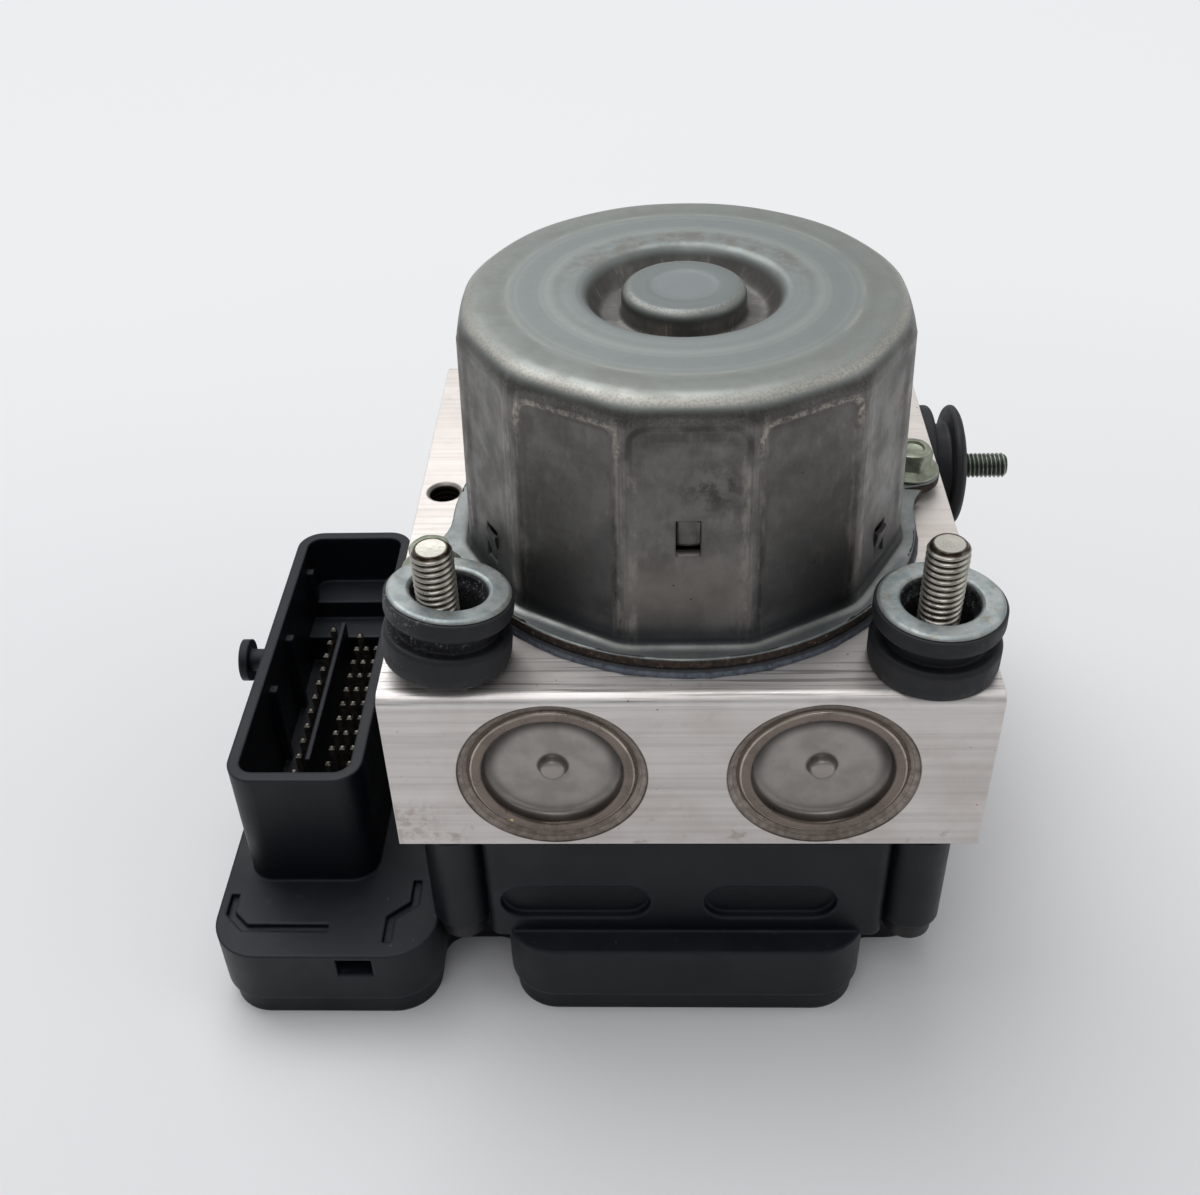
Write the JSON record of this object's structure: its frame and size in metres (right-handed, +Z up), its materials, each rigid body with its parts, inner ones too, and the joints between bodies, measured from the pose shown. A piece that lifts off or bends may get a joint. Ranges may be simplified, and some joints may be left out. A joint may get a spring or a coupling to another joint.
{
  "type": "ABS brake module",
  "caption": "Anti-lock brake hydraulic block with pump motor, control unit, pin connector, accumulator caps and rubber grommets.",
  "frame": {"origin": "flat underside of the control unit's lid, below the centre of the hydraulic block", "axes": "+X right as seen from the accumulator caps, +Y to the back, +Z up along the motor axis"},
  "size_m": [0.1409, 0.1009, 0.1093],
  "materials": {
    "block_aluminium": "extruded and machined, weathered",
    "cap_steel": "pressed, dull",
    "piston_metal": "hard anodised",
    "spring_steel": "spring wire",
    "seal_rubber": "moulded",
    "plug_steel": "turned",
    "can_steel": "deep drawn, zinc coated, worn",
    "sealant": "squeezed-out bead",
    "bolt_steel": "yellow passivated",
    "stud_steel": "zinc coated thread",
    "washer_steel": "blue zinc",
    "screw_steel": "zinc coated",
    "inner_steel": "ground",
    "magnet_ferrite": "ferrite",
    "core_iron": "stamped laminations",
    "winding_copper": "enamelled wire",
    "contact_copper": "copper",
    "card_plastic": "moulded",
    "brush_carbon": "carbon",
    "coil_plastic": "moulded coil body",
    "housing_plastic": "moulded",
    "cover_plastic": "moulded",
    "vent_membrane": "membrane",
    "board_laminate": "solder mask",
    "pin_brass": "tin plated",
    "grommet_rubber": "moulded, dusty"
  },
  "bodies": {
    "module": {"hydraulic_block": "block_aluminium", "accumulator_cap_left": "cap_steel", "accumulator_cap_right": "cap_steel", "accumulator_spring_left": "spring_steel", "accumulator_spring_right": "spring_steel", "pump_spring_left": "spring_steel", "pump_spring_right": "spring_steel", "brush_springs": "spring_steel", "ecu_gasket": "seal_rubber", "pump_sleeves": "plug_steel", "pump_plugs": "plug_steel", "passage_plugs": "plug_steel", "motor_can": "can_steel", "motor_gasket": "sealant", "motor_bolts": "bolt_steel", "mount_studs": "stud_steel", "grommet_washers": "washer_steel", "ecu_screws": "screw_steel", "motor_end_plate": "inner_steel", "bearing_outer_rings": "inner_steel", "inlet_valve_cartridges": "inner_steel", "outlet_valve_cartridges": "inner_steel", "motor_magnets": "magnet_ferrite", "motor_contact_blades": "contact_copper", "brush_card": "card_plastic", "carbon_brushes": "brush_carbon", "inlet_valve_coils": "coil_plastic", "outlet_valve_coils": "coil_plastic", "ecu_housing": "housing_plastic", "ecu_cover": "cover_plastic", "pressure_vent": "vent_membrane", "circuit_board": "board_laminate", "connector_pins": "pin_brass", "grommet_left": "grommet_rubber", "grommet_right": "grommet_rubber", "grommet_side": "grommet_rubber"},
    "rotor": {"motor_shaft": "inner_steel", "eccentric": "inner_steel", "lamination_stack": "core_iron", "windings": "winding_copper", "commutator": "contact_copper", "bearing_inner_rings": "inner_steel"},
    "balls": {"bearing_balls": "inner_steel"},
    "drive_ring": {"needle_ring": "inner_steel"},
    "drive_needles": {"needles": "inner_steel"},
    "pump_left": {"pump_piston_left": "piston_metal"},
    "pump_right": {"pump_piston_right": "piston_metal"},
    "accumulator_left": {"accumulator_piston_left": "piston_metal", "accumulator_seal_left": "seal_rubber"},
    "accumulator_right": {"accumulator_piston_right": "piston_metal", "accumulator_seal_right": "seal_rubber"},
    "inlet_valve_1": {"inlet_armature_1": "core_iron"},
    "inlet_valve_2": {"inlet_armature_2": "core_iron"},
    "inlet_valve_3": {"inlet_armature_3": "core_iron"},
    "inlet_valve_4": {"inlet_armature_4": "core_iron"},
    "outlet_valve_1": {"outlet_armature_1": "core_iron"},
    "outlet_valve_2": {"outlet_armature_2": "core_iron"},
    "outlet_valve_3": {"outlet_armature_3": "core_iron"},
    "outlet_valve_4": {"outlet_armature_4": "core_iron"}
  },
  "joints": [
    {"name": "rotor_spin", "type": "hinge", "parent": "module", "child": "rotor", "pos_m": [0, -0.0064, 0.08], "axis": [0, 0, 1], "continuous": true},
    {"name": "bearing_balls_spin", "type": "hinge", "parent": "module", "child": "balls", "pos_m": [0, -0.0064, 0.08], "axis": [0, 0, 1], "continuous": true},
    {"name": "drive_ring_spin", "type": "hinge", "parent": "rotor", "child": "drive_ring", "pos_m": [0.001, -0.0064, 0.052], "axis": [0, 0, 1], "continuous": true},
    {"name": "drive_needles_spin", "type": "hinge", "parent": "rotor", "child": "drive_needles", "pos_m": [0.001, -0.0064, 0.052], "axis": [0, 0, 1], "continuous": true},
    {"name": "pump_left_stroke", "type": "slide", "parent": "module", "child": "pump_left", "axis": [-1, 0, 0], "range_m": [0, 0.002], "stiffness_N_per_m": 2000, "deforming": ["pump_spring_left"]},
    {"name": "pump_right_stroke", "type": "slide", "parent": "module", "child": "pump_right", "axis": [1, 0, 0], "range_m": [0, 0.002], "stiffness_N_per_m": 2000, "deforming": ["pump_spring_right"]},
    {"name": "accumulator_left_stroke", "type": "slide", "parent": "module", "child": "accumulator_left", "axis": [0, -1, 0], "range_m": [0, 0.008], "stiffness_N_per_m": 900, "deforming": ["accumulator_spring_left"]},
    {"name": "accumulator_right_stroke", "type": "slide", "parent": "module", "child": "accumulator_right", "axis": [0, -1, 0], "range_m": [0, 0.008], "stiffness_N_per_m": 900, "deforming": ["accumulator_spring_right"]},
    {"name": "inlet_valve_1_lift", "type": "slide", "parent": "module", "child": "inlet_valve_1", "axis": [0, 0, 1], "range_m": [0, 0.00025], "stiffness_N_per_m": 2500},
    {"name": "inlet_valve_2_lift", "type": "slide", "parent": "module", "child": "inlet_valve_2", "axis": [0, 0, 1], "range_m": [0, 0.00025], "stiffness_N_per_m": 2500},
    {"name": "inlet_valve_3_lift", "type": "slide", "parent": "module", "child": "inlet_valve_3", "axis": [0, 0, 1], "range_m": [0, 0.00025], "stiffness_N_per_m": 2500},
    {"name": "inlet_valve_4_lift", "type": "slide", "parent": "module", "child": "inlet_valve_4", "axis": [0, 0, 1], "range_m": [0, 0.00025], "stiffness_N_per_m": 2500},
    {"name": "outlet_valve_1_lift", "type": "slide", "parent": "module", "child": "outlet_valve_1", "axis": [0, 0, 1], "range_m": [0, 0.00025], "stiffness_N_per_m": 2500},
    {"name": "outlet_valve_2_lift", "type": "slide", "parent": "module", "child": "outlet_valve_2", "axis": [0, 0, 1], "range_m": [0, 0.00025], "stiffness_N_per_m": 2500},
    {"name": "outlet_valve_3_lift", "type": "slide", "parent": "module", "child": "outlet_valve_3", "axis": [0, 0, 1], "range_m": [0, 0.00025], "stiffness_N_per_m": 2500},
    {"name": "outlet_valve_4_lift", "type": "slide", "parent": "module", "child": "outlet_valve_4", "axis": [0, 0, 1], "range_m": [0, 0.00025], "stiffness_N_per_m": 2500}
  ],
  "couplings": [
    {"joint": "bearing_balls_spin", "follows": "rotor_spin", "ratio": 0.3974},
    {"joint": "drive_ring_spin", "follows": "rotor_spin", "ratio": -1},
    {"joint": "drive_needles_spin", "follows": "rotor_spin", "ratio": -0.5684}
  ]
}
